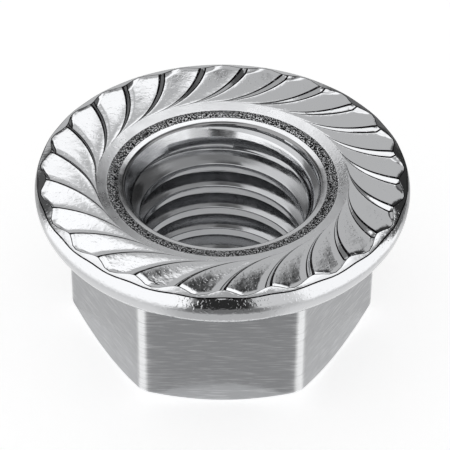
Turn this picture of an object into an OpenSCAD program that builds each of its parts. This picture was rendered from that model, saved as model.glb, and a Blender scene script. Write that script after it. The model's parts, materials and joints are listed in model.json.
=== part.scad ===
// Hexagon flange nut with a serrated bearing face. It stands on the plain end of its hexagon,
// so the flange and its ratchet teeth are on top. The thread axis is +Z, sizes are millimetres.

/* [Thread] */
// Nominal thread diameter
thread_d = 10; // [9.6:0.1:10.4]
// Thread pitch, which sets the tapping diameter of the bore
thread_pitch = 1.5; // [1.25:0.25:1.75]

/* [Hexagon] */
// Width across the flats
across_flats = 14; // [13.6:0.1:15]
// Width across the six corners, which are turned off slightly
across_corners = 15.96; // [15.8:0.02:16.1]
// Angle of the turned chamfer at the plain end, measured from the end face
end_chamfer = 30; // [20:1:35]
// Diameter of the flat end face inside that chamfer
end_face_d = 13.1; // [12.4:0.1:13.4]
// Diameter of the countersink in the plain end
end_sink_d = 10.5; // [10.2:0.1:11]
// Angle of both countersinks, measured from the end face
sink_angle = 30; // [25:1:45]

/* [Flange] */
// Outside diameter of the flange
flange_d = 19.2; // [19:0.1:20.5]
// Radius of the rim's rounding
rim_r = 1.7; // [1.5:0.05:1.9]
// Height of the rim's widest line above the plain end
rim_z = 8.83; // [8.7:0.01:8.95]
// Slope of the flange's underside, measured from horizontal
under_slope = 20; // [12:1:26]
// Height of the shoulder where the rim's rounding meets the bearing face
shoulder_z = 9.53; // [9.48:0.01:9.6]

/* [Bearing face] */
// Outside diameter of the smooth land that the teeth run into
land_d = 12.92; // [12.4:0.02:13.2]
// Inside diameter of the land
land_bore_d = 11.84; // [11.5:0.02:12.1]
// Diameter at the bright lip of the mouth
mouth_d = 10.14; // [10.1:0.02:10.6]
// Height of the land's outer edge above the plain end
land_z = 9.27; // [9.2:0.01:9.32]
// Height of the land's inner edge above the plain end
land_bore_z = 9.1; // [9:0.01:9.15]
// Height of the mouth's lip above the plain end
mouth_z = 8.96; // [8.8:0.01:9]
// Depth of the smooth mouth wall below its lip
mouth_depth = 1.3; // [1:0.05:1.6]
// Amount by which the mouth wall narrows over its depth, on the radius
mouth_draft = 0.07; // [0.02:0.01:0.1]

/* [Ratchet teeth] */
// Number of teeth round the flange
teeth = 25; // [20:1:30]
// Plan radius of the curved tooth edges
tooth_curve_r = 5.3; // [5:0.05:5.8]
// Bearing, from +X, of the first tooth edge where it leaves the land
first_tooth = -51; // [-58:0.5:-44]
// Diameter at which the teeth end
tooth_end_d = 18; // [17.6:0.05:18.2]
// Height of the tooth crests above their floors at that diameter
tooth_h = 0.24; // [0.15:0.01:0.3]
// Slope of the floors, which rise outwards
floor_rise = 4.5; // [3:0.25:5]
// Steepness of the short wall of a tooth
wall_angle = 60; // [50:1:75]

/* [Hidden] */
$fn = 96;
bore_r = thread_d / 2 - thread_pitch / 2;
hex_corner_r = across_flats / 2 / cos(30);
corner_trim_r = across_corners / 2;
flange_r = flange_d / 2;
land_r = land_d / 2;
mouth_r = mouth_d / 2;
mouth_foot_z = mouth_z - mouth_depth;
mouth_foot_r = mouth_r - mouth_draft;
rim_axis_r = flange_r - rim_r;
shoulder_r = rim_axis_r + sqrt(rim_r * rim_r - (shoulder_z - rim_z) * (shoulder_z - rim_z));

// Height that clears every surface of the nut
clear_z = shoulder_z + tooth_h + 3;

// Distance from the thread axis to the centre of a tooth edge's curve
curve_axis_r = land_r + tooth_curve_r;
tooth_end_r = tooth_end_d / 2;
// Angle that an edge turns through round its curve's centre, from the land to the tooth's end
edge_sweep = acos((curve_axis_r * curve_axis_r + tooth_curve_r * tooth_curve_r - tooth_end_r * tooth_end_r)
    / (2 * curve_axis_r * tooth_curve_r));
// Steps along each curved edge
edge_steps = 9;
// Share of a tooth's pitch that its short wall takes up
wall_share = tooth_h / tan(wall_angle) / (tooth_spacing(edge_sweep) * 2 * PI / teeth);
// Points across one tooth, as shares of the pitch: foot, crest and two on the long ramp
shares = [0, wall_share, 0.4, 0.72];
columns = teeth * len(shares);
// Depth of the annular seat that the toothed ring is rooted in, and the ring's overlap with its sides
seat_depth = 0.25;
root = 0.06;
seat_floor_z = land_z - seat_depth;
// Amount by which the land and the lip stand proud of the tooth floors beside them
proud = 0.02;
land_slope = (land_z - land_bore_z) / (land_d - land_bore_d) * 2;
// Inner radius of the narrow lip between the toothed ring and the shoulder
lip_r = shoulder_r - 0.12;

// Turned envelope of the hexagon: a cone takes the lower corners off and a cylinder trims the edges
module hexagon_envelope() {
    rise = (corner_trim_r - end_face_d / 2) * tan(end_chamfer);
    cylinder(r1 = end_face_d / 2, r2 = corner_trim_r, h = rise);
    translate([0, 0, rise]) cylinder(r = corner_trim_r, h = clear_z);
}

module hexagon_body() {
    intersection() {
        cylinder(r = hex_corner_r, h = rim_z - rim_r * sin(60), $fn = 6);
        hexagon_envelope();
    }
}

// Half section of the flange: one round rim, cut off by the face, with a seat for the toothed ring
module flange_section() {
    under_r = rim_axis_r + rim_r * sin(under_slope) / 2;
    under_z = rim_z - rim_r * cos(under_slope);
    intersection() {
        union() {
            translate([rim_axis_r, rim_z]) circle(r = rim_r);
            polygon([
                [0, under_z - under_r * tan(under_slope)],
                [under_r, under_z],
                [rim_axis_r, rim_z],
                [rim_axis_r, clear_z],
                [0, clear_z]
            ]);
        }
        polygon([
            [0, -clear_z],
            [flange_r + 1, -clear_z],
            [flange_r + 1, shoulder_z],
            [lip_r, shoulder_z],
            [lip_r - root, seat_floor_z],
            [land_r + proud, seat_floor_z],
            [land_r + proud, land_z + proud * land_slope],
            [land_bore_d / 2, land_bore_z],
            [mouth_r, mouth_z],
            [0, mouth_z]
        ]);
    }
}

// Smooth mouth, tapping bore and the countersinks at both ends of the thread
module bore_section() {
    top_sink_z = mouth_foot_z - (mouth_foot_r - bore_r) * tan(sink_angle);
    end_sink_z = (end_sink_d / 2 - bore_r) * tan(sink_angle);
    polygon([
        [0, -1],
        [end_sink_d / 2 + 1 / tan(sink_angle), -1],
        [bore_r, end_sink_z],
        [bore_r, top_sink_z],
        [mouth_foot_r, mouth_foot_z],
        [mouth_r, mouth_z],
        [mouth_r, clear_z],
        [0, clear_z]
    ]);
}

// A point of a tooth edge, by the angle turned round its curve's centre: its distance from the
// thread axis, how far its bearing lags, and the spacing of neighbouring edges per radian of pitch
function edge_r(turn) = norm([curve_axis_r - tooth_curve_r * cos(turn), tooth_curve_r * sin(turn)]);
function edge_lag(turn) = atan2(tooth_curve_r * sin(turn), curve_axis_r - tooth_curve_r * cos(turn));
function tooth_spacing(turn) = curve_axis_r * sin(turn);

// Height over the floor across one tooth: a straight wall up to the crest, then a scooped ramp down
function tooth_shape(share) =
    share < wall_share ? share / wall_share : pow((1 - share) / (1 - wall_share), 1.2);
function floor_z(r) = land_z - proud + (r - land_r) * tan(floor_rise);

// One ring of points round the axis, all at one distance from it
function ring_at(r, lag, height_over, base_z) = [
    for (tooth = [0:teeth - 1], share = shares)
        let (bearing = first_tooth + (tooth + share) * 360 / teeth - lag)
        [r * cos(bearing), r * sin(bearing), base_z + height_over * tooth_shape(share)]
];

// The ring of curved ratchet teeth: rows of points run along the edges from the land to the
// shoulder, and two deep rows root it in its seat. The teeth fade out as their edges close up.
module toothed_ring() {
    end_lag = edge_lag(edge_sweep);
    root_z = seat_floor_z - root;
    rows = concat(
        [ring_at(land_r - root, 0, 0, root_z)],
        [for (step = [0:edge_steps])
            let (turn = edge_sweep * step / edge_steps)
            ring_at(edge_r(turn), edge_lag(turn),
                tooth_h * tooth_spacing(turn) / tooth_spacing(edge_sweep), floor_z(edge_r(turn)))],
        [ring_at(lip_r + root / 2, end_lag, 0, shoulder_z - proud)],
        [ring_at(lip_r + root, end_lag, 0, root_z)]
    );
    last = len(rows) - 1;
    side_faces = [for (row = [0:last], c = [0:columns - 1], half = [0, 1])
        let (next_row = (row + 1) % len(rows), d = (c + 1) % columns,
            a = row * columns + c, b = row * columns + d, e = next_row * columns + c, f = next_row * columns + d)
        half == 0 ? [a, b, f] : [a, f, e]];
    polyhedron(points = [for (row = rows) each row], faces = side_faces, convexity = 6);
}

module flange_nut() {
    color("silver") {
        difference() {
            union() {
                hexagon_body();
                rotate_extrude() flange_section();
            }
            rotate_extrude() bore_section();
        }
        toothed_ring();
    }
}

flange_nut();
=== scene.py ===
"""Flange nut with curved ratchet teeth, in bright plated steel, on a pale studio floor.

The nut is one closed skin. Every part of it is a grid of rows, which follow its section from the
plain end over the rim and down the bore, and of columns, which run round the thread axis. Neighbours
share their border rows, so that the grids weld into one solid. Sizes are millimetres until the mesh
is made, the thread axis is Z, and angles in fields are degrees.
"""

import json
import logging
import math
from dataclasses import dataclass
from enum import Enum
from functools import cached_property

import bmesh
import bpy
import numpy as np
from mathutils import Matrix, Vector


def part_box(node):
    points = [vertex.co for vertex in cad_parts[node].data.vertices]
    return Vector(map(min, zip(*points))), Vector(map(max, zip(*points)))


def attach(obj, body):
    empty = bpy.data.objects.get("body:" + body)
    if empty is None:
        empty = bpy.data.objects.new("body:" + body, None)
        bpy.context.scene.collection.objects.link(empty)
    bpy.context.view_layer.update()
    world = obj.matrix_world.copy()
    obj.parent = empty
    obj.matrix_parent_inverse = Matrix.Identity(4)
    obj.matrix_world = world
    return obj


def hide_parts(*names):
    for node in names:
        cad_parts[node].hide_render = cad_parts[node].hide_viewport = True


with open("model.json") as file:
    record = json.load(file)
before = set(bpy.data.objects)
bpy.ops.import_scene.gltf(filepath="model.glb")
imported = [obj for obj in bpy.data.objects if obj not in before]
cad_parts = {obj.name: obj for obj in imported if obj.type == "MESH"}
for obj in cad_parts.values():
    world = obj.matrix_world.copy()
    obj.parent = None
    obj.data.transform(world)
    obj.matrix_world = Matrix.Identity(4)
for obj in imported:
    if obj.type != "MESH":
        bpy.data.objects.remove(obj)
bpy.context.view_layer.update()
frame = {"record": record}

MM = 0.001
NODE = "flange_nut"
LOG = logging.getLogger("flange_nut")

# Sides of the hexagon, and columns round the axis: a whole number for each side and for each tooth
SIDES = 6
COLUMNS = 450

# Stretches that a rounded corner is divided into
ROUND_STEPS = 4

# Lengths in millimetres that differ by less than this count as equal
TOUCH = 1e-6

WHITE = (1.0, 1.0, 1.0, 1.0)


class Zone(Enum):
    """Stretches of the nut's surface, each with the material slot of its own finish."""

    END = 0
    FLATS = 1
    RIM = 2
    TEETH = 3
    LAND = 4
    SCUFF = 5
    LIP = 6
    MOUTH = 7
    THREAD = 8
    # Painted shade: dark lines in the creases of the bearing face
    CREASE = 9


def slope(angle: float) -> float:
    """Returns the rise over the run of a line at an angle in degrees above level."""
    return math.tan(math.radians(angle))


def unit(vectors: np.ndarray) -> np.ndarray:
    """Returns the vectors on the last axis, scaled to length one."""
    return vectors / np.linalg.norm(vectors, axis=-1, keepdims=True)


def smooth_step(start: float, end: float, value: np.ndarray) -> np.ndarray:
    """Returns 0 before start, 1 after end and t^2 (3 - 2 t) between them."""
    t = np.clip((value - start) / (end - start), 0.0, 1.0)
    return t * t * (3 - 2 * t)


def bearings(points: np.ndarray) -> np.ndarray:
    """Returns the bearings of a row of points in radians, without jumps of a whole turn."""
    return np.unwrap(np.arctan2(points[:, 1], points[:, 0]))


def polar(radius: np.ndarray | float, bearing: np.ndarray, height: np.ndarray | float) -> np.ndarray:
    """Turns distances, bearings and heights into points: x = r cos b, y = r sin b, z = height.

    Args:
        radius: Distances from the thread axis.
        bearing: Angles from +X in radians, counter-clockwise seen from above.
        height: Heights above the plain end.

    Returns:
        Points, with one more axis of three than the arguments have together.
    """
    radius, bearing, height = np.broadcast_arrays(radius, bearing, height)
    return np.stack([radius * np.cos(bearing), radius * np.sin(bearing), height], axis=-1)


def bend(start: np.ndarray, corner: np.ndarray, end: np.ndarray, steps: int) -> np.ndarray:
    """Curves round a corner: (1 - s)^2 start + 2 s (1 - s) corner + s^2 end, for s from 0 to 1.

    Args:
        start: Where the curve leaves the first side: a point, or a row of them.
        corner: The corner that it cuts off.
        end: Where it meets the second side.
        steps: Stretches that it is divided into.

    Returns:
        One row more than there are stretches, each shaped like the arguments.
    """
    start, corner, end = map(np.asarray, (start, corner, end))
    s = np.linspace(0.0, 1.0, steps + 1).reshape(-1, *[1] * start.ndim)
    return (1 - s) ** 2 * start + 2 * s * (1 - s) * corner + s**2 * end


def rounded(corners: list[np.ndarray], reaches: list[float], steps: int = ROUND_STEPS) -> np.ndarray:
    """Rounds the inner corners of many profiles at once.

    Each bend runs between the points at its reach from the corner, towards the corner before and
    towards the one after.

    Args:
        corners: One array of points for each corner, one point to a column.
        reaches: How far the rounding of each corner but the first and the last reaches.
        steps: Stretches that each rounding is divided into.

    Returns:
        The rows of the rounded profiles, with the first and the last corner as they were.
    """
    rows = [corners[0]]
    for before, here, after, reach in zip(corners, corners[1:], corners[2:], reaches):
        start = here + reach * unit(before - here)
        end = here + reach * unit(after - here)
        rows.extend(bend(start, here, end, steps))
    rows.append(corners[-1])
    return np.stack(rows)


def grid_quads(rows: int, columns: int, lead: int = 0) -> np.ndarray:
    """Joins each point of a grid that closes round the axis to its neighbours.

    The last column meets the first one, `lead` rows back, and faces whose rows run off the grid there
    are left out.

    Args:
        rows: Rows of the grid.
        columns: Columns of the grid.
        lead: Rows that the grid climbs in one turn.

    Returns:
        Four indices into the flattened points for each face, in the order that faces outwards.
    """
    row, column = np.meshgrid(np.arange(rows), np.arange(columns), indexing="ij")
    next_row = row - np.where(column == columns - 1, lead, 0)
    across = next_row * columns + (column + 1) % columns
    here = row * columns + column
    inside = (next_row[:-1] >= 0) & (next_row[1:] < rows)
    faces = np.stack([here[:-1], across[:-1], across[1:], here[1:]], axis=-1)
    return faces[inside]


@dataclass
class Patch:
    """A grid of points that closes round the axis.

    Attributes:
        zone: The stretch of surface that it belongs to.
        points: Rows x columns x 3, in millimetres.
        lead: Rows that the grid climbs in one turn: 0 for rings, and more for a thread.
        inlay: Points whose faces belong to `inlay_zone`, for all rows alike or rows x columns.
        inlay_zone: The zone of those faces, or None where there is no inlay.
        burnish: How much of the painted white highlight each point has, from 0 to 1, for all rows alike
            or for all points.
    """

    zone: Zone
    points: np.ndarray
    lead: int = 0
    inlay: np.ndarray | bool = False
    inlay_zone: Zone | None = None
    burnish: np.ndarray | float = 0.0

    def quads(self) -> np.ndarray:
        """Returns four indices into the flattened points for each face."""
        return grid_quads(*self.points.shape[:2], self.lead)

    def over_points(self, values: np.ndarray | float) -> np.ndarray:
        """Returns one value for each of the flattened points."""
        return np.broadcast_to(values, self.points.shape[:2]).ravel()

    def slots(self, quads: np.ndarray) -> np.ndarray:
        """Finds each face's finish: the inlay's where all four of its corners lie in the inlay.

        Args:
            quads: The faces, as `quads` gives them.

        Returns:
            One slot to a face.
        """
        if self.inlay_zone is None:
            return np.full(len(quads), self.zone.value)
        inside = self.over_points(self.inlay)[quads].all(axis=1)
        return np.where(inside, self.inlay_zone.value, self.zone.value)


def strips(rows: np.ndarray, ends: list[tuple[Zone, int]]) -> list[Patch]:
    """Cuts a grid into strips that share their border rows.

    Args:
        rows: The grid's points, rows x columns x 3.
        ends: The zone of each strip and the row that it ends at, from the first row on.

    Returns:
        One patch for each strip.
    """
    starts = [0] + [end for _, end in ends]
    return [Patch(zone, rows[start : end + 1]) for start, (zone, end) in zip(starts, ends)]


@dataclass
class Hexagon:
    """The wrench hexagon with its turned chamfer, up to the underside of the flange.

    Attributes:
        across_flats: Width across the flats.
        corner_round: Radius of the six upright corners.
        end_face_r: Radius of the flat end face, where the chamfer starts.
        chamfer: Slope of the chamfer.
        corner_columns: Columns that one rounded corner takes.
        edge_reach: How far the rounding between chamfer and flat reaches.
        face_reach: The same between end face and chamfer.
        root_reach: The same between flat and underside.
        highlight_core: Distance from a corner's middle, as a share of its columns, to which the painted
            white highlight is full, and `highlight_end` the distance at which it has gone.
    """

    across_flats: float = 14.0
    corner_round: float = 0.62
    end_face_r: float = 6.55
    chamfer: float = 30.0
    corner_columns: int = 17
    edge_reach: float = 0.16
    face_reach: float = 0.12
    root_reach: float = 0.28
    highlight_core: float = 0.12
    highlight_end: float = 0.62

    @property
    def flat_columns(self) -> int:
        """Columns between the middle of a flat and the rounding of a corner."""
        return (COLUMNS // SIDES - self.corner_columns) // 2

    @cached_property
    def outline(self) -> tuple[np.ndarray, np.ndarray]:
        """Distances and bearings round the hexagon, from the middle of its front flat.

        In the frame of one corner, whose direction is x, a flat runs from its middle along
        (sin 30, cos 30) to the rounding, which is an arc about x = (a - c) / cos 30 with the corner's
        radius c, where a is half the width across flats. The second flat mirrors the first.

        Returns:
            Two arrays with one value to a column.
        """
        apothem = self.across_flats / 2
        tilt = math.pi / SIDES
        flat = (apothem - self.corner_round) * math.tan(tilt)
        along = np.linspace(0.0, flat, self.flat_columns, endpoint=False)
        x = apothem * math.cos(tilt) + along * math.sin(tilt)
        y = -apothem * math.sin(tilt) + along * math.cos(tilt)
        turn = np.linspace(-tilt, tilt, self.corner_columns + 1)
        arc_x = (apothem - self.corner_round) / math.cos(tilt) + self.corner_round * np.cos(turn)
        arc_y = self.corner_round * np.sin(turn)
        x = np.concatenate([x, arc_x, x[:0:-1]])
        y = np.concatenate([y, arc_y, -y[:0:-1]])
        corner = (np.arange(SIDES)[:, None] - 1) * 2 * tilt
        return np.tile(np.hypot(x, y), SIDES), (corner + np.arctan2(y, x)).ravel()

    @property
    def burnish(self) -> np.ndarray:
        """How much painted white highlight the flats have: one less the smooth step of the distance from
        a corner.

        Returns:
            One value to a column, from 0 to 1.
        """
        column = np.arange(COLUMNS) % (COLUMNS // SIDES) - self.flat_columns
        off = np.abs(column / self.corner_columns - 0.5)
        return 1 - smooth_step(self.highlight_core, self.highlight_end, off)

    def patches(self, sink_r: float, under_r: float, under_z: float, under_slope: float) -> list[Patch]:
        """Builds the end face, the chamfer, the flats and the start of the underside.

        The chamfer is a cone, so it meets each column at the height (r - end_face_r) tan(chamfer),
        where r is the hexagon's own distance: lowest in mid flat and highest at the corners. The
        underside is a cone too, which falls inwards from its rim.

        Args:
            sink_r: Radius at which the countersink opens in the end face.
            under_r: Radius where the underside meets the rim's rounding.
            under_z: Height of that line.
            under_slope: Slope of the underside in degrees.

        Returns:
            The patches of the plain end and of the flats, from the bottom up.
        """
        radius, bearing = self.outline
        chamfer_z = (radius - self.end_face_r) * slope(self.chamfer)
        root_z = under_z - (under_r - radius) * slope(under_slope)
        corners = [
            polar(sink_r, bearing, 0.0),
            polar(self.end_face_r, bearing, 0.0),
            polar(radius, bearing, chamfer_z),
            polar(radius, bearing, root_z),
            polar(under_r, bearing, under_z),
        ]
        flat_rows = rounded(corners[1:], [self.edge_reach, self.root_reach])[1:]
        end_rows = rounded(corners[:3], [self.face_reach])[:-1]
        end_rows = np.concatenate([end_rows, flat_rows[:1]])
        # The flats carry the painted white highlight at their corners
        return [Patch(Zone.END, end_rows), Patch(Zone.FLATS, flat_rows, burnish=self.burnish)]


@dataclass
class Rim:
    """The flange's rolled rim, from its underside to the shoulder of the bearing face.

    Attributes:
        flange_r: Outside radius of the flange.
        round_r: Radius of the rim's rounding.
        widest_z: Height of its widest line.
        under_slope: Slope of the underside.
        shoulder_z: Height of the shoulder.
        rows: Rows over the rounding.
        arc_share: Share of the arc at which the shoulder's own rounding takes over.
        drift_share: Share of the arc over which the columns drift to the bearings of the tooth ends.
    """

    flange_r: float
    round_r: float = 1.7
    widest_z: float = 8.83
    under_slope: float = 20.0
    shoulder_z: float = 9.53
    rows: int = 26
    arc_share: float = 0.97
    drift_share: float = 0.8

    @property
    def axis_r(self) -> float:
        """Distance of the rounding's centre from the thread axis."""
        return self.flange_r - self.round_r

    @property
    def top_turn(self) -> float:
        """Angle above level, in radians, at which the rounding reaches the shoulder."""
        return math.asin((self.shoulder_z - self.widest_z) / self.round_r)

    @property
    def shoulder_r(self) -> float:
        """Radius of the shoulder."""
        return self.axis_r + self.round_r * math.cos(self.top_turn)

    @property
    def under_r(self) -> float:
        """Radius where the sloping underside runs into the rounding."""
        return self.axis_r + self.round_r * math.sin(math.radians(self.under_slope))

    @property
    def under_z(self) -> float:
        """Height of that line."""
        return self.widest_z - self.round_r * math.cos(math.radians(self.under_slope))

    def patch(self, below: np.ndarray, above: np.ndarray) -> Patch:
        """Sweeps the rounding as an arc: r = axis + R cos(turn), z = widest + R sin(turn).

        Args:
            below: Bearings of the hexagon's columns.
            above: Bearings of the tooth ends' columns.

        Returns:
            The rim's patch.
        """
        start = math.radians(self.under_slope - 90)
        share = np.linspace(0.0, self.arc_share, self.rows)[:, None]
        turn = start + (self.top_turn - start) * share
        bearing = below + (above - below) * smooth_step(0.0, self.drift_share, share)
        radius = self.axis_r + self.round_r * np.cos(turn)
        return Patch(Zone.RIM, polar(radius, bearing, self.widest_z + self.round_r * np.sin(turn)))


@dataclass
class RatchetTeeth:
    """The bearing face: curved teeth that fade into a smooth land, and the band round their ends.

    A tooth edge is an arc of radius `curve_r` about a point at the distance d = land_r + curve_r from
    the axis. After a turn t its distance is |(d - curve_r cos t, curve_r sin t)|, its bearing lags by
    that vector's angle, and neighbouring edges lie d sin t apart for each radian of pitch.

    Attributes:
        count: Number of teeth.
        land_r: Radius at which the teeth run into the land, and `land_z` its height.
        curve_r: Plan radius of the tooth edges.
        first: Bearing of the first edge where it leaves the land.
        end_r: Mean radius of the tooth ends, and `end_swing` how far they swing out and in.
        widest_share: Share of the pitch at which a tooth reaches furthest out.
        band_slope: Slope at which the band round the ends falls outwards.
        height: Height of the crests over the floors at the end radius.
        fade: Power by which the height follows the spacing of the edges.
        floor_rise: Slope at which the floors rise outwards.
        flare: Width over which the teeth ease to the band's height.
        wall_share: Share of the pitch that a steep wall takes.
        floor_share: Share of the pitch at which the ramp meets the flat floor.
        crease: Share of the pitch that the rounding at a wall's foot takes of the floor.
        foot_end: Share of the wall's height at which that rounding ends.
        crest_start: Share of the wall's height at which the crest's rounding starts.
        soft_share: Share of the pitch that the other roundings reach along ramp and floor.
        foot_steps: Stretches that the rounding at a wall's foot is divided into.
        soft_steps: The same for the other roundings.
        ramp_steps: The same for the ramp between them.
        floor_steps: The same for the floor. Together they have to give each tooth its columns.
        painted_shade_foot: Columns of the rounding at a wall's foot that the painted shade covers.
        rows: Rows from the ends to the land.
        end_reach: How far the rounding of the tooth ends reaches.
        shoulder_reach: How far the rounding of the shoulder reaches.
        shoulder_wave: How far the shoulder swings with the ends, falling by `shoulder_fall` of that.
    """

    count: int = 25
    land_r: float = 6.46
    land_z: float = 9.27
    curve_r: float = 5.3
    first: float = -51.0
    end_r: float = 9.17
    end_swing: float = 0.17
    widest_share: float = 0.6
    band_slope: float = 16.7
    height: float = 0.265
    fade: float = 1.4
    floor_rise: float = 4.5
    flare: float = 0.22
    wall_share: float = 0.1
    floor_share: float = 0.83
    crease: float = 0.03
    foot_end: float = 0.6
    crest_start: float = 0.85
    soft_share: float = 0.05
    foot_steps: int = 4
    soft_steps: int = 3
    ramp_steps: int = 4
    floor_steps: int = 3
    painted_shade_foot: int = 3
    rows: int = 38
    end_reach: float = 0.03
    shoulder_reach: float = 0.04
    shoulder_wave: float = 0.03
    shoulder_fall: float = 0.5

    @property
    def centre_r(self) -> float:
        """Distance of the edge curves' centres from the thread axis."""
        return self.land_r + self.curve_r

    @cached_property
    def section(self) -> tuple[np.ndarray, np.ndarray, np.ndarray]:
        """The teeth across their length: steep wall, crisp crest, straight ramp and flat floor.

        Returns:
            Shares of the pitch, counted on from tooth to tooth, heights as shares of the crest's, and
            whether painted shade runs there, one value to a column.
        """
        wall, floor, soft = self.wall_share, self.floor_share, self.soft_share
        fall = soft / (floor - wall)
        foot_end = (wall * self.foot_end, self.foot_end)
        crest_start = (wall * self.crest_start, self.crest_start)
        foot = bend((-self.crease, 0.0), (0.0, 0.0), foot_end, self.foot_steps)
        crest = bend(crest_start, (wall, 1.0), (wall + soft, 1 - fall), self.soft_steps)
        valley = bend((floor - soft, fall), (floor, 0.0), (floor + soft, 0.0), self.soft_steps)
        ramp = np.linspace(crest[-1], valley[0], self.ramp_steps + 1)[1:-1]
        flat = np.linspace(valley[-1], (1 - soft, 0.0), self.floor_steps + 1)[1:-1]
        share, rise = np.concatenate([foot, crest, ramp, valley, flat]).T
        # Painted shade covers the first columns of a wall's foot and the crest's rounding
        dark = np.arange(len(share)) < self.painted_shade_foot
        dark[len(foot) : len(foot) + len(crest)] = True
        tooth = np.repeat(np.arange(self.count), len(share))
        return np.tile(share, self.count) + tooth, np.tile(rise, self.count), np.tile(dark, self.count)

    def turn_at(self, radius: np.ndarray | float) -> np.ndarray:
        """Turn of an edge at a distance: cos t = (d^2 + curve_r^2 - r^2) / (2 d curve_r)."""
        d, c = self.centre_r, self.curve_r
        return np.arccos((d * d + c * c - radius * radius) / (2 * d * c))

    def surface(self, turn: np.ndarray) -> np.ndarray:
        """Places points of the toothed face.

        The height is that of the floor, land_z + (r - land_r) tan(floor_rise), and over it the
        tooth's, height * (spacing / end spacing)^fade * rise.

        Args:
            turn: Turn along the edges in radians, one for each column, in one row or in many.

        Returns:
            Points, with one more axis of three.
        """
        share, rise, _ = self.section
        along = self.centre_r - self.curve_r * np.cos(turn)
        aside = self.curve_r * np.sin(turn)
        radius = np.hypot(along, aside)
        bearing = math.radians(self.first) + share * math.tau / self.count - np.arctan2(aside, along)
        spacing = np.sin(turn) / np.sin(self.turn_at(self.end_r))
        floor = self.land_z + (radius - self.land_r) * slope(self.floor_rise)
        return polar(radius, bearing, floor + self.height * spacing**self.fade * rise)

    @cached_property
    def wave(self) -> np.ndarray:
        """How far each column swings out, from 1 to -1: cos(share of the pitch - widest share)."""
        return np.cos((self.section[0] - self.widest_share) * math.tau)

    @cached_property
    def end_radius(self) -> np.ndarray:
        """Where each column's tooth ends: end_r + end_swing * wave."""
        return self.end_r + self.end_swing * self.wave

    @cached_property
    def end_bearing(self) -> np.ndarray:
        """Bearings of the columns at the tooth ends."""
        return bearings(self.surface(self.turn_at(self.end_radius)))

    def patches(self, rim: Rim, rim_top: np.ndarray) -> list[Patch]:
        """Builds the shoulder's edge, the band outside the teeth and the teeth down to the land.

        The band is a cone that falls outwards to the shoulder. Over the flare's width the teeth ease
        to that cone's height, by the smooth step of the distance left to their end. Painted shade, a
        ragged dark line, runs along the shoulder, round the tooth ends, along the crests and at the
        walls' feet.

        Args:
            rim: The rim, for the shoulder's place.
            rim_top: The rim's last row.

        Returns:
            The patches, from the rim inwards.
        """
        along = np.linspace(1.0, 0.0, self.rows)[:, None]
        face = self.surface(self.turn_at(self.end_radius) * along)
        cone_z = rim.shoulder_z + (rim.shoulder_r - self.end_radius) * slope(self.band_slope)
        left = self.end_radius - np.hypot(face[..., 0], face[..., 1])
        face[..., 2] += (cone_z - face[0, :, 2]) * (1 - smooth_step(0.0, self.flare, left))
        swing = self.shoulder_wave * self.wave
        shoulder_z = rim.shoulder_z - swing * self.shoulder_fall
        shoulder = polar(rim.shoulder_r + swing, self.end_bearing, shoulder_z)
        band = rounded([rim_top, shoulder, face[0], face[1]], [self.shoulder_reach, self.end_reach])
        # First rows of the roundings of the shoulder and of the tooth ends
        shoulder_row, end_row = 1, 2 + ROUND_STEPS
        last_row = end_row + ROUND_STEPS
        # The shoulder's rounding and the tooth ends' rounding carry the painted shade
        ends = [
            (Zone.RIM, shoulder_row),
            (Zone.CREASE, shoulder_row + ROUND_STEPS),
            (Zone.TEETH, end_row + 1),
            (Zone.CREASE, last_row),
        ]
        face = np.concatenate([band[last_row : last_row + 1], face[1:]])
        # The crests and the walls' feet carry the painted shade
        teeth = Patch(Zone.TEETH, face, inlay=self.section[2], inlay_zone=Zone.CREASE)
        return [*strips(band, ends), teeth]


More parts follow.
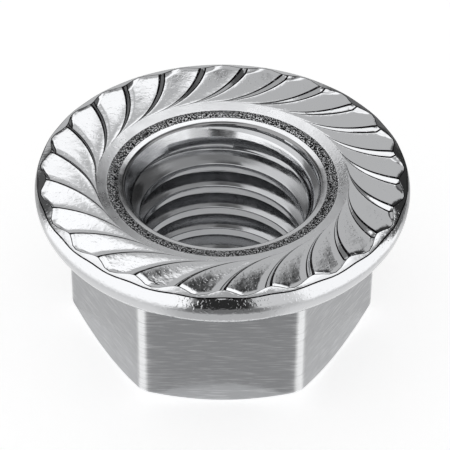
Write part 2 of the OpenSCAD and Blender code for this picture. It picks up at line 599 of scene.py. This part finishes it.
@dataclass
class Mouth:
    """The smooth rings inside the teeth, down to the steep countersink that the thread starts in.

    Attributes:
        land_bore_r: Radius of the land's inner edge, and `land_bore_z` its height.
        scuff_r: Radius of the scuffed ring's inner edge, and `scuff_z` its height.
        scuff_swell: How far that ring swells over the straight line between its edges.
        lip_r: Radius of the mouth's lip, and `lip_z` its height.
        sink_slope: Slope of the countersink below the lip.
        lip_reach: How far the lip's rounding reaches.
        edge_reach: How far the rounding of the other edges reaches.
        drift: Shares of the drift to even bearings at the five edges inside the land.
        support: Place of an extra row across the land, which keeps the shading beside its edge flat.
    """

    land_bore_r: float = 5.92
    land_bore_z: float = 9.1
    scuff_r: float = 5.37
    scuff_z: float = 9.02
    scuff_swell: float = 0.035
    lip_r: float = 5.07
    lip_z: float = 8.96
    sink_slope: float = 65.0
    lip_reach: float = 0.1
    edge_reach: float = 0.06
    drift: tuple[float, ...] = (0.3, 0.4, 0.6, 0.7, 1.0)
    support: float = 0.1

    def patches(self, land: np.ndarray, even: np.ndarray, thread_r: float) -> list[Patch]:
        """Builds the rings as cones between their edges, with the scuffed ring swelling a little.

        Args:
            land: The row of points round the land's outer edge.
            even: Evenly spaced bearings that the columns have drifted to where the thread starts.
            thread_r: The thread's major radius, at which it starts in the countersink.

        Returns:
            The patches of the land, the scuffed ring, the mouth and its lip, from the outside in.
        """
        middle_r = (self.land_bore_r + self.scuff_r) / 2
        middle_z = (self.land_bore_z + self.scuff_z) / 2 + self.scuff_swell
        start_z = self.lip_z - (self.lip_r - thread_r) * slope(self.sink_slope)
        radii = (self.land_bore_r, middle_r, self.scuff_r, self.lip_r, thread_r)
        heights = (self.land_bore_z, middle_z, self.scuff_z, self.lip_z, start_z)
        start = bearings(land)
        rings = [
            polar(radius, start + (even - start) * share, height)
            for radius, height, share in zip(radii, heights, self.drift)
        ]
        swell_reach = (self.land_bore_r - self.scuff_r) / 4
        rows = rounded([land, *rings], [self.edge_reach, swell_reach, self.edge_reach, self.lip_reach])
        support = land + (rows[1:2] - land) * self.support
        rows = np.concatenate([rows[:1], support, rows[1:]])
        # First rows of the roundings of the land's bore, the swell, the scuffed ring's edge and the lip
        bore_row, _, scuff_row, lip_row = 2 + (ROUND_STEPS + 1) * np.arange(4)
        ends = [
            (Zone.LAND, bore_row + ROUND_STEPS // 2),
            (Zone.SCUFF, scuff_row + ROUND_STEPS // 2),
            (Zone.MOUTH, lip_row + 1),
            # The lip's rounding and the short countersink below it carry the painted shade line
            (Zone.LIP, len(rows) - 1),
        ]
        return strips(rows, ends)


@dataclass
class Thread:
    """The right-handed tapped thread, and the countersinks and the neck that it runs out in.

    Attributes:
        minor_r: Radius of the crests.
        major_r: Radius of the roots.
        pitch: Rise in one turn.
        crest_top_z: Height of the crest's upper corner at the bearing of +Y.
        root_flat: Width of the root's flat.
        edge_reach: How far the rounding of crest and root reaches.
        edge_steps: Stretches that such a rounding is divided into.
        flank: Lean of the flanks.
        flank_steps: Stretches that a flank is divided into.
        neck_r: Radius of the neck at the foot of the mouth's countersink.
        neck_depth: Height of the neck.
        neck_slope: Slope of the cone that closes it to the minor radius.
        sink: Slope of the plain end's countersink, and `sink_r` its radius in the end face.
    """

    minor_r: float
    major_r: float = 5.0
    pitch: float = 1.5
    crest_top_z: float = 5.28
    root_flat: float = 0.19
    edge_reach: float = 0.045
    edge_steps: int = 2
    flank: float = 30.0
    flank_steps: int = 3
    neck_r: float = 4.64
    neck_depth: float = 0.36
    neck_slope: float = 45.0
    sink: float = 30.0
    sink_r: float = 5.25

    @cached_property
    def section(self) -> tuple[np.ndarray, np.ndarray]:
        """One pitch of the thread, downwards from the top corner of its crest.

        The crest's flat, a flank that leans out, the root's flat and the flank back in, with each
        corner rounded as in `rounded`.

        Returns:
            Depths below the crest's corner as shares of the pitch, and distances from the axis.
        """
        flank = (self.major_r - self.minor_r) * slope(self.flank)
        crest_flat = self.pitch - self.root_flat - 2 * flank
        depth = np.cumsum([-flank, flank, crest_flat, flank, self.root_flat, flank])
        radius = [self.major_r, self.minor_r, self.minor_r, self.major_r, self.major_r, self.minor_r]
        corners = [np.array([corner]) for corner in zip(depth, radius)]
        edges = rounded(corners, [self.edge_reach] * 4, self.edge_steps)[1:-1, 0]
        crest, root = np.split(edges, 2)
        next_crest = crest[0] + (self.pitch, 0.0)
        share = np.linspace(0.0, 1.0, self.flank_steps, endpoint=False)[1:, None]
        out = crest[-1] + (root[0] - crest[-1]) * share
        back = root[-1] + (next_crest - root[-1]) * share
        depth, radius = np.concatenate([crest, out, root, back]).T
        return depth / self.pitch, radius

    def mouth_wall(self, height: np.ndarray, top_z: float, foot_z: float) -> np.ndarray:
        """Sections the cut above the thread: a steep cone, a straight neck and a cone to the crests.

        Args:
            height: Heights in the bore.
            top_z: Height at which the steep cone has the major radius.
            foot_z: Height at which it has the neck's radius.

        Returns:
            Distances of that wall from the axis, and the minor radius below it.
        """
        neck_z = foot_z - self.neck_depth
        neck_end_z = neck_z - (self.neck_r - self.minor_r) * slope(self.neck_slope)
        heights = [neck_end_z, neck_z, foot_z, top_z]
        return np.interp(height, heights, [self.minor_r, self.neck_r, self.neck_r, self.major_r])

    def patches(
        self, top: np.ndarray, even: np.ndarray, end: np.ndarray, mouth_slope: float
    ) -> list[Patch]:
        """Winds the thread's section down the bore.

        The height is crest_top - pitch * (turns down - turns round), held between the top row and
        the plain end, and the distance is the thread's own or that of a countersink where that is
        wider. Rows that are held collapse onto the border rows and vanish in the weld.

        Args:
            top: The last row of the mouth, where its countersink has the major radius.
            even: Evenly spaced bearings of the columns.
            end: The first row of the end face, where the skin closes.
            mouth_slope: Slope of the mouth's countersink in degrees.

        Returns:
            The thread's patch and the countersink of the plain end.
        """
        top_z = top[0, 2]
        end_z = (self.sink_r - self.major_r) * slope(self.sink)
        share, section_r = self.section
        turns_up = math.ceil((top_z - self.crest_top_z) / self.pitch) + 1
        turns_down = math.ceil((self.crest_top_z - end_z) / self.pitch) + 1
        turn = np.repeat(np.arange(-turns_up, turns_down), len(share))
        down = (turn + np.tile(share, turns_up + turns_down))[:, None]
        thread_r = np.tile(section_r, turns_up + turns_down)[:, None]
        round_share = (even - math.pi / 2) / math.tau
        height = np.clip(self.crest_top_z - self.pitch * (down - round_share), end_z, top_z)
        foot_z = top_z - (self.major_r - self.neck_r) * slope(mouth_slope)
        mouth_r = self.mouth_wall(height, top_z, foot_z)
        end_r = self.sink_r - height / slope(self.sink)
        reamed = (mouth_r > thread_r - TOUCH) & (height > foot_z - TOUCH)
        winding = polar(np.maximum(thread_r, np.maximum(mouth_r, end_r)), even, height)
        foot = polar(self.major_r, even, end_z)
        return [
            Patch(Zone.THREAD, winding, lead=len(share), inlay=reamed, inlay_zone=Zone.MOUTH),
            Patch(Zone.END, np.stack([foot, end])),
        ]


def srgb(code: str) -> tuple[float, float, float, float]:
    """Turns an sRGB hex colour into linear light.

    Args:
        code: Six hex digits after a #.

    Returns:
        Linear red, green, blue and an alpha of one.
    """
    channels = [int(code[i : i + 2], 16) / 255 for i in (1, 3, 5)]
    linear = [c / 12.92 if c <= 0.04045 else ((c + 0.055) / 1.055) ** 2.4 for c in channels]
    return (*linear, 1.0)


def add_node(
    tree: bpy.types.NodeTree,
    kind: str,
    settings: dict[str | int, object] | None = None,
    **inputs: object,
) -> bpy.types.Node:
    """Adds a node to a tree.

    Args:
        tree: The tree of a material or of the world.
        kind: The node's type, such as ShaderNodeBump.
        settings: Its own properties by name, and by number the inputs whose names repeat.
        inputs: Other inputs by name, with underscores for spaces. A socket is linked to its input,
            and anything else is the input's value.

    Returns:
        The new node.
    """
    node = tree.nodes.new(kind)
    sockets = {name.replace("_", " "): value for name, value in inputs.items()}
    for name, value in (settings or {}).items():
        if isinstance(name, int):
            sockets[name] = value
        else:
            setattr(node, name, value)
    for name, value in sockets.items():
        if isinstance(value, bpy.types.NodeSocket):
            tree.links.new(value, node.inputs[name])
        else:
            node.inputs[name].default_value = value
    return node


def new_material(name: str) -> bpy.types.Material:
    """Makes a material with an empty tree.

    Args:
        name: The material's name.

    Returns:
        The material.
    """
    material = bpy.data.materials.new(name)
    material.use_nodes = True
    material.node_tree.nodes.clear()
    return material


def new_object(name: str, data: bpy.types.ID) -> bpy.types.Object:
    """Puts an object into the scene.

    Args:
        name: The object's name.
        data: Its mesh or camera.

    Returns:
        The object.
    """
    placed = bpy.data.objects.new(name, data)
    bpy.context.scene.collection.objects.link(placed)
    return placed


# Smoothest roughness that a rubbed patch may get
SMOOTHEST = 0.02

# Values that most of a noise lies between, and values of the grain over which its dots rise
NOISE_BODY = (0.35, 0.65)
DOT_RISE = (0.56, 0.7)

# Spread of the grain's values that a share of dark specks is read from, the pits and the specks of the
# painted shade, and half the width of a speck's edge
PIT_SPREAD = 0.4
PIT_EDGE = 0.012

# Values of the grain that draw level streaks on the flats and break up the edge of the painted white
# highlight, and the most that they add or take
STREAK_BODY = (0.25, 0.75)
STREAK_REACH = 0.28


@dataclass(frozen=True)
class PlatedSteel:
    """Steel with a thin bright zinc plating, which keeps the marks of the tool under it.

    Attributes:
        name: The material's name.
        colour: The plating's colour.
        roughness: Roughness of the plated surface.
        rubbing: Change of roughness between the duller and the brighter patches.
        grain: Width of the grain in millimetres, across the marks.
        stretch: How many times longer than wide the marks are, level round the nut.
        relief: Height of the grain in millimetres.
        detail: Finer octaves in the grain.
        dots: Whether only the peaks of the grain stand out of a smooth surface.
        wave: Width of the shallow waves in the surface, in millimetres.
        wave_relief: Height of the waves in millimetres.
        pits_and_shade: Colour of the pits, which in the crease lines are painted shade, and
            `pits_and_shade_share` how much of the surface they take.
        painted_highlight_colour: Colour of the white highlight painted on a surface that has one, or
            nothing.
    """

    name: str
    colour: str = "#DADBDD"
    roughness: float = 0.12
    rubbing: float = 0.05
    grain: float = 0.12
    stretch: float = 1.0
    relief: float = 0.002
    detail: float = 3.0
    dots: bool = False
    wave: float = 0.8
    wave_relief: float = 0.0
    pits_and_shade: str = ""
    pits_and_shade_share: float = 0.0
    painted_highlight_colour: str = ""

    def material(self) -> bpy.types.Material:
        """Builds the material on two noises: the grain and the broader waves.

        Returns:
            The Blender material.
        """
        material = new_material(self.name)
        tree = material.node_tree
        place = add_node(tree, "ShaderNodeTexCoord").outputs["Object"]
        across = 1 / (self.grain * MM)
        scale = (across / self.stretch, across / self.stretch, across)
        marks = add_node(tree, "ShaderNodeMapping", Vector=place, Scale=scale).outputs[0]
        grain = add_node(tree, "ShaderNodeTexNoise", Vector=marks, Scale=1.0, Detail=self.detail)
        waves = add_node(tree, "ShaderNodeTexNoise", Vector=place, Scale=1 / (self.wave * MM), Detail=2.0)
        shader = add_node(
            tree,
            "ShaderNodeBsdfPrincipled",
            Metallic=1.0,
            Base_Color=self.tint(tree, grain.outputs[0]),
            Roughness=self.polish(tree, waves.outputs[0]),
            Normal=self.normal(tree, grain.outputs[0], waves.outputs[0]),
        )
        add_node(tree, "ShaderNodeOutputMaterial", Surface=shader.outputs[0])
        return material

    def polish(self, tree: bpy.types.NodeTree, waves: bpy.types.NodeSocket) -> bpy.types.NodeSocket:
        """Varies the roughness with the waves, as rubbing in the box leaves it.

        Args:
            tree: The material's tree.
            waves: The broader noise.

        Returns:
            The roughness.
        """
        return add_node(
            tree,
            "ShaderNodeMapRange",
            Value=waves,
            From_Min=NOISE_BODY[0],
            From_Max=NOISE_BODY[1],
            To_Min=max(self.roughness - self.rubbing, SMOOTHEST),
            To_Max=self.roughness + self.rubbing,
        ).outputs[0]

    def normal(
        self, tree: bpy.types.NodeTree, grain: bpy.types.NodeSocket, waves: bpy.types.NodeSocket
    ) -> bpy.types.NodeSocket:
        """Raises the surface by relief * grain + wave_relief * waves, in millimetres.

        Args:
            tree: The material's tree.
            grain: The fine noise.
            waves: The broader noise.

        Returns:
            The shading normal.
        """
        if self.dots:
            grain = add_node(
                tree, "ShaderNodeMapRange", Value=grain, From_Min=DOT_RISE[0], From_Max=DOT_RISE[1]
            ).outputs[0]
        swell = {"operation": "MULTIPLY", 0: waves, 1: self.wave_relief}
        raised = add_node(tree, "ShaderNodeMath", swell).outputs[0]
        terms = {"operation": "MULTIPLY_ADD", 0: grain, 1: self.relief, 2: raised}
        height = add_node(tree, "ShaderNodeMath", terms).outputs[0]
        return add_node(tree, "ShaderNodeBump", Height=height, Strength=1.0, Distance=MM).outputs[0]

    def tint(
        self, tree: bpy.types.NodeTree, grain: bpy.types.NodeSocket
    ) -> bpy.types.NodeSocket | tuple[float, ...]:
        """Colours the surface: darker in its pits and its painted shade, and paler where a white
        highlight is painted.

        Args:
            tree: The material's tree.
            grain: The fine noise, which places the pits and the specks of the painted shade, and breaks
                up the edge of the painted highlight.

        Returns:
            The plain colour, or the socket that varies it.
        """
        if self.pits_and_shade:
            # Dark specks: real pits on the scuffed ring, and painted shade in the crease lines
            edge = 0.5 + (0.5 - self.pits_and_shade_share) * PIT_SPREAD
            share = add_node(
                tree,
                "ShaderNodeMapRange",
                Value=grain,
                From_Min=edge - PIT_EDGE,
                From_Max=edge + PIT_EDGE,
            )
        elif self.painted_highlight_colour:
            # Painted highlight: white mixed in towards the flats' corners, with an edge that the grain
            # breaks up
            streaks = add_node(
                tree,
                "ShaderNodeMapRange",
                Value=grain,
                From_Min=STREAK_BODY[0],
                From_Max=STREAK_BODY[1],
                To_Min=-STREAK_REACH,
                To_Max=STREAK_REACH,
            ).outputs[0]
            shine = add_node(tree, "ShaderNodeAttribute", {"attribute_name": "burnish"}).outputs["Fac"]
            terms = {"operation": "ADD", "use_clamp": True, 0: shine, 1: streaks}
            share = add_node(tree, "ShaderNodeMath", terms)
        else:
            return srgb(self.colour)
        other = srgb(self.pits_and_shade or self.painted_highlight_colour)
        mix = {"data_type": "RGBA", 0: share.outputs[0], 6: srgb(self.colour), 7: other}
        return add_node(tree, "ShaderNodeMix", mix).outputs[2]


# The plating's own grain is a few hundredths of a millimetre wide, too fine to show in the render, so
# every grain here is drawn two to five times as coarse
FINISHES = {
    # Faced on the lathe: an even satin ring that the nut stands on
    Zone.END: PlatedSteel("turned_end", roughness=0.2, grain=0.08, relief=0.0015),
    # Drawn bar: satin with short level marks. Its grey is painted shade, darker than the plating
    # elsewhere, for the shaded floor that the flats mirror, and the corners carry a painted white
    # highlight
    Zone.FLATS: PlatedSteel(
        "drawn_flats",
        colour="#A5A6A8",
        painted_highlight_colour="#FAFBFC",
        roughness=0.2,
        grain=0.075,
        stretch=14.0,
    ),
    # Rolled: nearly a mirror, a little wavy, with scattered dots that sparkle
    Zone.RIM: PlatedSteel(
        "rolled_rim",
        roughness=0.08,
        rubbing=0.03,
        grain=0.14,
        relief=0.004,
        detail=1.0,
        dots=True,
        wave_relief=0.01,
    ),
    # Pressed by a polished die: mirror ramps whose white and black reflections have wavy edges
    Zone.TEETH: PlatedSteel(
        "pressed_teeth",
        roughness=0.07,
        rubbing=0.03,
        grain=0.14,
        relief=0.0015,
        detail=1.0,
        dots=True,
        wave=0.7,
        wave_relief=0.014,
    ),
    # Painted shade: ragged, nearly black lines along the shoulder, round the tooth ends, along the crests
    # and at the walls' feet, where these creases lie in shade
    Zone.CREASE: PlatedSteel(
        "dark_crease",
        colour="#6E6F71",
        roughness=0.2,
        grain=0.14,
        detail=2.0,
        pits_and_shade="#0A0A0B",
        pits_and_shade_share=0.85,
    ),
    # Pressed by the rough middle of the die: a pale, grainy ring that mirrors nothing
    Zone.LAND: PlatedSteel(
        "matte_land", colour="#DCDDDF", roughness=0.3, grain=0.09, relief=0.011, detail=1.5
    ),
    # Scuffed in tapping: light and dark specks side by side
    Zone.SCUFF: PlatedSteel(
        "scuffed_ring",
        colour="#C4C5C7",
        roughness=0.3,
        grain=0.07,
        relief=0.01,
        pits_and_shade="#0C0C0D",
        pits_and_shade_share=0.62,
    ),
    # Painted shade: a smooth grey line round the hole's edge, darker than the plating
    Zone.LIP: PlatedSteel("bare_lip", colour="#8A8A8B", grain=0.08, relief=0.001),
    # Reamed before the tapping: satin, with marks that run round
    Zone.MOUTH: PlatedSteel("reamed_mouth", roughness=0.18, grain=0.045, stretch=7.0, relief=0.003),
    # Cut by the tap, with marks along the turns, and greyer than the plating elsewhere: painted shade for
    # the depth of the bore
    Zone.THREAD: PlatedSteel(
        "tapped_thread", colour="#B0B1B3", roughness=0.15, grain=0.05, stretch=6.0
    ),
}


@dataclass
class FlangeNut:
    """The whole nut: its parts in the order that the skin runs through them.

    Attributes:
        hexagon: The wrench hexagon.
        rim: The rolled rim.
        teeth: The bearing face with its teeth.
        mouth: The smooth rings inside the teeth.
        thread: The thread.
        weld_reach: Distance within which points are merged.
        sharp_angle: Angle past which an edge stays sharp.
    """

    hexagon: Hexagon
    rim: Rim
    teeth: RatchetTeeth
    mouth: Mouth
    thread: Thread
    weld_reach: float = 0.001
    sharp_angle: float = 50.0

    def patches(self) -> list[Patch]:
        """Runs once round the section, from the plain end over the rim and down the bore.

        Returns:
            Every patch of the skin.
        """
        rim, teeth, mouth, thread = self.rim, self.teeth, self.mouth, self.thread
        lower = self.hexagon.patches(thread.sink_r, rim.under_r, rim.under_z, rim.under_slope)
        roll = rim.patch(self.hexagon.outline[1], teeth.end_bearing)
        face = teeth.patches(rim, roll.points[-1])
        land = face[-1].points[-1]
        even = bearings(land)[0] + np.arange(COLUMNS) * math.tau / COLUMNS
        rings = mouth.patches(land, even, thread.major_r)
        bore = thread.patches(rings[-1].points[-1], even, lower[0].points[0], mouth.sink_slope)
        return [*lower, roll, *face, *rings, *bore]

    def skin(self) -> bpy.types.Mesh:
        """Puts the patches side by side in one mesh, with the slots of the faces and the painted white
        highlight.

        Returns:
            The mesh, whose border rows are still double.
        """
        points, faces, slots, burnish, count = [], [], [], [], 0
        for patch in self.patches():
            quads = patch.quads()
            points.append(patch.points.reshape(-1, 3) * MM)
            faces.append(quads + count)
            slots.append(patch.slots(quads))
            burnish.append(patch.over_points(patch.burnish))
            count += len(points[-1])
        mesh = bpy.data.meshes.new(NODE)
        mesh.from_pydata(np.concatenate(points), [], np.concatenate(faces))
        mesh.polygons.foreach_set("material_index", np.concatenate(slots).astype(np.int32))
        shine = mesh.attributes.new("burnish", "FLOAT", "POINT")
        shine.data.foreach_set("value", np.concatenate(burnish).astype(np.float32))
        return mesh

    def weld(self, mesh: bpy.types.Mesh) -> tuple[int, float]:
        """Merges the border rows, and the rows that collapse at the thread's ends.

        Args:
            mesh: The mesh, which is changed.

        Returns:
            The number of open edges left, and the volume in cubic millimetres.
        """
        grid = bmesh.new()
        grid.from_mesh(mesh)
        bmesh.ops.remove_doubles(grid, verts=grid.verts, dist=self.weld_reach * MM)
        loose = [vertex for vertex in grid.verts if not vertex.link_faces]
        bmesh.ops.delete(grid, geom=loose, context="VERTS")
        grid.to_mesh(mesh)
        open_edges = sum(not edge.is_manifold for edge in grid.edges)
        volume = grid.calc_volume(signed=True) / MM**3
        grid.free()
        return open_edges, volume

    def build(self) -> bpy.types.Object:
        """Builds the closed mesh, shades it smooth and dresses each zone in its finish.

        Returns:
            The nut's object.
        """
        mesh = self.skin()
        open_edges, volume = self.weld(mesh)
        faces = len(mesh.polygons)
        mesh.polygons.foreach_set("use_smooth", np.ones(faces, dtype=bool))
        mesh.set_sharp_from_angle(angle=math.radians(self.sharp_angle))
        for zone in Zone:
            mesh.materials.append(FINISHES[zone].material())
        nut = new_object("dressed_nut", mesh)
        weigh = nut.modifiers.new("true_flats", "WEIGHTED_NORMAL")
        weigh.keep_sharp = True
        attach(nut, "root")
        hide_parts(NODE)
        LOG.info("%s: %d faces, %d open edges, %.1f mm3", nut.name, faces, open_edges, volume)
        return nut


@dataclass(frozen=True)
class Panel:
    """A part of the light tent with a brightness of its own.

    Attributes:
        azimuth: Where it starts and ends: 0 is in front of the nut and 90 to its right.
        elevation: Its lower and upper side. Below 0 it lies on the floor round the nut.
        level: Its brightness, where one is white.
        soft: Widths over which its upright and its level sides fade.
    """

    azimuth: tuple[float, float]
    elevation: tuple[float, float]
    level: float
    soft: tuple[float, float]

    def cover(self, azimuth: np.ndarray, elevation: np.ndarray) -> np.ndarray:
        """Works out how much of each direction the panel fills.

        The share is the product of two smooth steps, of the distance in azimuth from its middle,
        which wraps round, and of the distance in elevation from its middle.

        Args:
            azimuth: Directions in degrees.
            elevation: Heights in degrees.

        Returns:
            Shares from 0 to 1.
        """
        share = 1.0
        wrapped = (azimuth - sum(self.azimuth) / 2 + 180) % 360 - 180
        level = elevation - sum(self.elevation) / 2
        for off, sides, soft in zip((wrapped, level), (self.azimuth, self.elevation), self.soft):
            half = (sides[1] - sides[0]) / 2
            share = share * (1 - smooth_step(half - soft / 2, half + soft / 2, np.abs(off)))
        return share


@dataclass
class LightTent:
    """The tent that the metal mirrors: a dome whose skirt lies on the floor, seen by reflections only.

    Attributes:
        panels: What is painted on it, each over the ones before.
        level: Brightness between the panels.
        distance: Radius of the dome.
        rim_r: Radius of the flange's rim, and `rim_z` its height, from which the floor is mirrored.
        skirt_z: Height of the skirt over the floor.
        inner_r: Radius of the skirt's inner edge, under the flange.
        flattest: Smallest angle below level that a ray to the floor is given.
        top: Elevation of the last row, which stops just short of a pole.
        azimuth_steps: Columns round the tent.
        elevation_steps: Rows from the inner edge to the top.
    """

    panels: tuple[Panel, ...]
    level: float = 0.6
    distance: float = 400.0
    rim_r: float = 9.6
    rim_z: float = 8.8
    skirt_z: float = 0.15
    inner_r: float = 8.3
    flattest: float = 0.5
    top: float = 89.9
    azimuth_steps: int = 180
    elevation_steps: int = 120

    def points(self, azimuth: np.ndarray, elevation: np.ndarray) -> np.ndarray:
        """Places each direction on the dome or, below level, on the floor.

        A direction on the dome is a point at the tent's distance. One on the floor is the point where
        a ray from the flange's rim meets it: r = rim_r + rim_z / tan(-elevation).

        Args:
            azimuth: Directions in degrees, one to a column.
            elevation: Heights in degrees, one to a row.

        Returns:
            Points, rows x columns x 3, in millimetres.
        """
        low = elevation < 0
        down = np.radians(np.maximum(-elevation, self.flattest))
        up = np.radians(np.clip(elevation, 0.0, self.top))
        skirt_r = np.minimum(self.rim_r + self.rim_z / np.tan(down), self.distance)
        radius = np.where(low, skirt_r, self.distance * np.cos(up))
        height = np.where(low, self.skirt_z, self.skirt_z + self.distance * np.sin(up))
        radius[0] = self.inner_r
        return polar(radius, np.radians(azimuth) - math.pi / 2, height)

    def material(self) -> bpy.types.Material:
        """Builds the tent's light, which has the strength that is painted on the points.

        Returns:
            The Blender material.
        """
        material = new_material("light_tent")
        tree = material.node_tree
        painted = add_node(tree, "ShaderNodeAttribute", {"attribute_name": "glow"})
        light = add_node(tree, "ShaderNodeEmission", Color=WHITE, Strength=painted.outputs["Fac"])
        add_node(tree, "ShaderNodeOutputMaterial", Surface=light.outputs[0])
        return material

    def build(self) -> bpy.types.Object:
        """Builds the dome and paints the panels on it one after another.

        Returns:
            The tent's object.
        """
        azimuth = np.linspace(-180.0, 180.0, self.azimuth_steps, endpoint=False)
        elevation = np.linspace(-90.0, 90.0, self.elevation_steps)[:, None]
        points = self.points(azimuth, elevation)
        level = np.full(points.shape[:2], self.level)
        for panel in self.panels:
            level += (panel.level - level) * panel.cover(azimuth, elevation)
        mesh = bpy.data.meshes.new("light_tent")
        mesh.from_pydata(points.reshape(-1, 3) * MM, [], grid_quads(*level.shape))
        glow = mesh.attributes.new("glow", "FLOAT", "POINT")
        glow.data.foreach_set("value", level.ravel().astype(np.float32))
        mesh.materials.append(self.material())
        tent = new_object("light_tent", mesh)
        tent.visible_camera = False
        tent.visible_diffuse = False
        tent.visible_shadow = False
        tent.visible_transmission = False
        return tent


@dataclass(frozen=True)
class PhotoCamera:
    """The camera where the photograph's stood, worked out from the nut's outlines.

    Attributes:
        place: Where it stands, in millimetres.
        tilt: Its turn from looking straight down.
        roll: Its turn about the line that it looks along.
        lens: Focal length in millimetres, for a sensor that is `sensor` wide.
        shift_px: Pixels by which the picture is shifted, of `frame_px` across.
        nearest: Distance in millimetres at which it starts to see.
    """

    place: tuple[float, float, float] = (0.073, -89.07, 81.72)
    tilt: float = 49.68
    roll: float = 0.46
    lens: float = 179.7
    sensor: float = 36.0
    shift_px: float = 1.4
    frame_px: int = 450
    nearest: float = 10.0

    def build(self) -> None:
        """Places the camera and makes it the scene's."""
        data = bpy.data.cameras.new("camera")
        data.lens = self.lens
        data.sensor_width = self.sensor
        data.shift_x = self.shift_px / self.frame_px
        data.clip_start = self.nearest * MM
        camera = new_object("camera", data)
        tilt = Matrix.Rotation(math.radians(self.tilt), 4, "X")
        roll = Matrix.Rotation(math.radians(self.roll), 4, "Z")
        camera.matrix_world = Matrix.Translation(Vector(self.place) * MM) @ tilt @ roll
        bpy.context.scene.camera = camera


@dataclass
class Studio:
    """A pale floor, a white surround, the light tent and the camera.

    Attributes:
        tent: The light tent.
        camera: The camera.
        floor_size: Width of the floor.
        floor_colour: Its colour.
        floor_lift: Light that it adds to its own for the camera and in reflections, to show as white.
        surround: Brightness of the surround for everything but the camera, which sees it white.
    """

    tent: LightTent
    camera: PhotoCamera
    floor_size: float = 1200.0
    floor_colour: str = "#E6E6E6"
    floor_lift: float = 0.62
    surround: float = 0.5

    def floor(self) -> None:
        """Lays the floor: matte and pale, and white to the camera apart from the nut's shadow."""
        half = self.floor_size / 2 * MM
        mesh = bpy.data.meshes.new("floor")
        corners = [(-half, -half, 0), (half, -half, 0), (half, half, 0), (-half, half, 0)]
        mesh.from_pydata(corners, [], [(0, 1, 2, 3)])
        material = new_material("pale_floor")
        tree = material.node_tree
        matte = add_node(tree, "ShaderNodeBsdfDiffuse", Color=srgb(self.floor_colour))
        ray = add_node(tree, "ShaderNodeLightPath").outputs
        rays = {"operation": "ADD", 0: ray["Is Camera Ray"], 1: ray["Is Glossy Ray"]}
        seen = add_node(tree, "ShaderNodeMath", rays).outputs[0]
        lift = {"operation": "MULTIPLY", 0: seen, 1: self.floor_lift}
        strength = add_node(tree, "ShaderNodeMath", lift).outputs[0]
        glow = add_node(tree, "ShaderNodeEmission", Color=WHITE, Strength=strength)
        both = add_node(tree, "ShaderNodeAddShader", {0: matte.outputs[0], 1: glow.outputs[0]})
        add_node(tree, "ShaderNodeOutputMaterial", Surface=both.outputs[0])
        mesh.materials.append(material)
        new_object("floor", mesh)

    def sky(self) -> None:
        """Sets the surround: white to the camera and an even soft grey to everything else."""
        world = bpy.data.worlds.new("surround")
        bpy.context.scene.world = world
        world.use_nodes = True
        tree = world.node_tree
        tree.nodes.clear()
        camera_ray = add_node(tree, "ShaderNodeLightPath").outputs["Is Camera Ray"]
        level = add_node(tree, "ShaderNodeMapRange", Value=camera_ray, To_Min=self.surround, To_Max=1.0)
        light = add_node(tree, "ShaderNodeBackground", Color=WHITE, Strength=level.outputs[0])
        add_node(tree, "ShaderNodeOutputWorld", Surface=light.outputs[0])

    def build(self) -> None:
        """Sets everything up, with the plain view transform."""
        bpy.context.scene.view_settings.view_transform = "Standard"
        self.floor()
        self.sky()
        self.camera.build()
        tent = self.tent.build()
        LOG.info("%s: %d panels", tent.name, len(self.tent.panels))


PANELS = (
    # All round: the floor close to the nut, and overhead, darker on the right
    Panel((-180, 180), (-120, -55), 0.85, soft=(0.1, 30)),
    Panel((-180, 180), (72, 120), 0.48, soft=(0.1, 6)),
    Panel((-12, 120), (70, 120), 0.35, soft=(20, 8)),
    # On the left: a white wall, and a white strip over it that runs to the back
    Panel((-104, -14), (-48, 58), 1.35, soft=(6, 25)),
    Panel((-165, -28), (50, 74), 1.25, soft=(14, 10)),
    # On the right: white below and grey above, then a dark wall with darker parts towards the back
    Panel((12, 42), (-40, 50), 0.8, soft=(4, 20)),
    Panel((38, 103), (-50, 24), 1.3, soft=(10, 14)),
    Panel((36, 120), (24, 56), 0.5, soft=(14, 12)),
    Panel((96, 170), (-36, 50), 0.16, soft=(4, 8)),
    Panel((132, 168), (20, 43), 0.04, soft=(4, 6)),
    Panel((88, 112), (8, 42), 0.1, soft=(10, 12)),
    Panel((36, 120), (56, 71), 0.5, soft=(14, 6)),
    Panel((112, 186), (54, 70), 1.2, soft=(12, 6)),
    # On the left towards the back: a grey wall and a dark part
    Panel((-134, -106), (-34, 36), 0.24, soft=(8, 14)),
    Panel((-166, -132), (25, 43), 0.1, soft=(6, 5)),
    # At the back: white strips high up, and the floor with a grey part close to the nut
    Panel((162, 192), (52, 72), 1.35, soft=(8, 6)),
    Panel((188, 224), (45, 72), 1.35, soft=(6, 6)),
    Panel((140, 180), (44, 72), 1.4, soft=(6, 5)),
    Panel((164, 216), (-34, -6), 1.3, soft=(6, 6)),
    Panel((112, 248), (-54, -36), 0.48, soft=(10, 12)),
    # In front: a white window between a dark strip above and a black gap below, and the floor
    Panel((-30, 32), (62, 76), 0.16, soft=(12, 6)),
    Panel((-26, 34), (27, 58), 1.25, soft=(8, 6)),
    Panel((-14, 15), (-38, 24), 0.03, soft=(5, 8)),
    Panel((-26, 28), (-120, -50), 0.58, soft=(18, 12)),
    Panel((-20, 22), (-56, -36), 0.2, soft=(16, 8)),
)


def main() -> None:
    """Builds the nut and the studio."""
    logging.basicConfig(level=logging.INFO, format="%(name)s %(message)s")
    low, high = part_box(NODE)
    bore = next(mount for mount in frame["record"]["mounts"] if mount["name"] == "tapped_bore")
    nut = FlangeNut(
        Hexagon(),
        Rim(flange_r=(high.x - low.x) / 2 / MM),
        RatchetTeeth(),
        Mouth(),
        Thread(minor_r=bore["dims"]["r_mm"]),
    )
    nut.build()
    Studio(LightTent(PANELS), PhotoCamera()).build()


if __name__ == "__main__":
    main()
